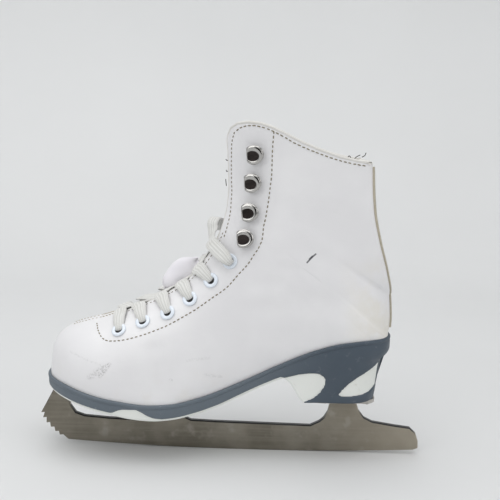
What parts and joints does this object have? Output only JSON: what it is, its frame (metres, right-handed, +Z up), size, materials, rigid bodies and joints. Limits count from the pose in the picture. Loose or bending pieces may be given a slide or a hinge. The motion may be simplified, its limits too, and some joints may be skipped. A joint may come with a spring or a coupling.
{
  "type": "figure skate",
  "caption": "left figure skate with a laced white leather boot, slate and white moulded heeled sole and a steel runner with toe picks",
  "frame": {"origin": "middle of the heel seat, on top of the insole; the shoe is held up by the foot in it", "axes": "+X from toe to heel, +Z up, -Y the lateral side; millimetres in the source, metres here"},
  "size_m": [0.2581, 0.082, 0.222],
  "materials": {
    "upper_leather": "smooth coated leather, white with a faint lilac cast",
    "sole_slate": "moulded, satin slate grey",
    "sole_white": "moulded, matte white",
    "insole_board": "fabric over board",
    "tongue_lining": "padded, soft white",
    "blade_steel": "satin, brushed lengthwise",
    "plate_steel": "satin",
    "eyelet_enamel": "gloss enamel, bluish white",
    "hook_chrome": "polished",
    "lace_cotton": "flat woven cotton"
  },
  "bodies": {
    "root": {"upper": "upper_leather", "outsole": "sole_slate", "sole_core": "sole_white", "insole": "insole_board", "tongue": "tongue_lining", "blade": "blade_steel", "blade_toe_plate": "plate_steel", "blade_heel_plate": "plate_steel", "toe_screw_1": "plate_steel", "toe_screw_2": "plate_steel", "toe_screw_3": "plate_steel", "toe_screw_4": "plate_steel", "toe_screw_5": "plate_steel", "toe_screw_6": "plate_steel", "heel_screw_1": "plate_steel", "heel_screw_2": "plate_steel", "heel_screw_3": "plate_steel", "heel_screw_4": "plate_steel", "eyelet_lateral_1": "eyelet_enamel", "eyelet_lateral_2": "eyelet_enamel", "eyelet_lateral_3": "eyelet_enamel", "eyelet_lateral_4": "eyelet_enamel", "eyelet_lateral_5": "eyelet_enamel", "eyelet_lateral_6": "eyelet_enamel", "hook_lateral_1": "hook_chrome", "hook_lateral_2": "hook_chrome", "hook_lateral_3": "hook_chrome", "hook_lateral_4": "hook_chrome", "eyelet_medial_1": "eyelet_enamel", "eyelet_medial_2": "eyelet_enamel", "eyelet_medial_3": "eyelet_enamel", "eyelet_medial_4": "eyelet_enamel", "eyelet_medial_5": "eyelet_enamel", "eyelet_medial_6": "eyelet_enamel", "hook_medial_1": "hook_chrome", "hook_medial_2": "hook_chrome", "hook_medial_3": "hook_chrome", "hook_medial_4": "hook_chrome", "lace_bars": "lace_cotton", "lace_end_lateral": "lace_cotton"}
  },
  "joints": []
}
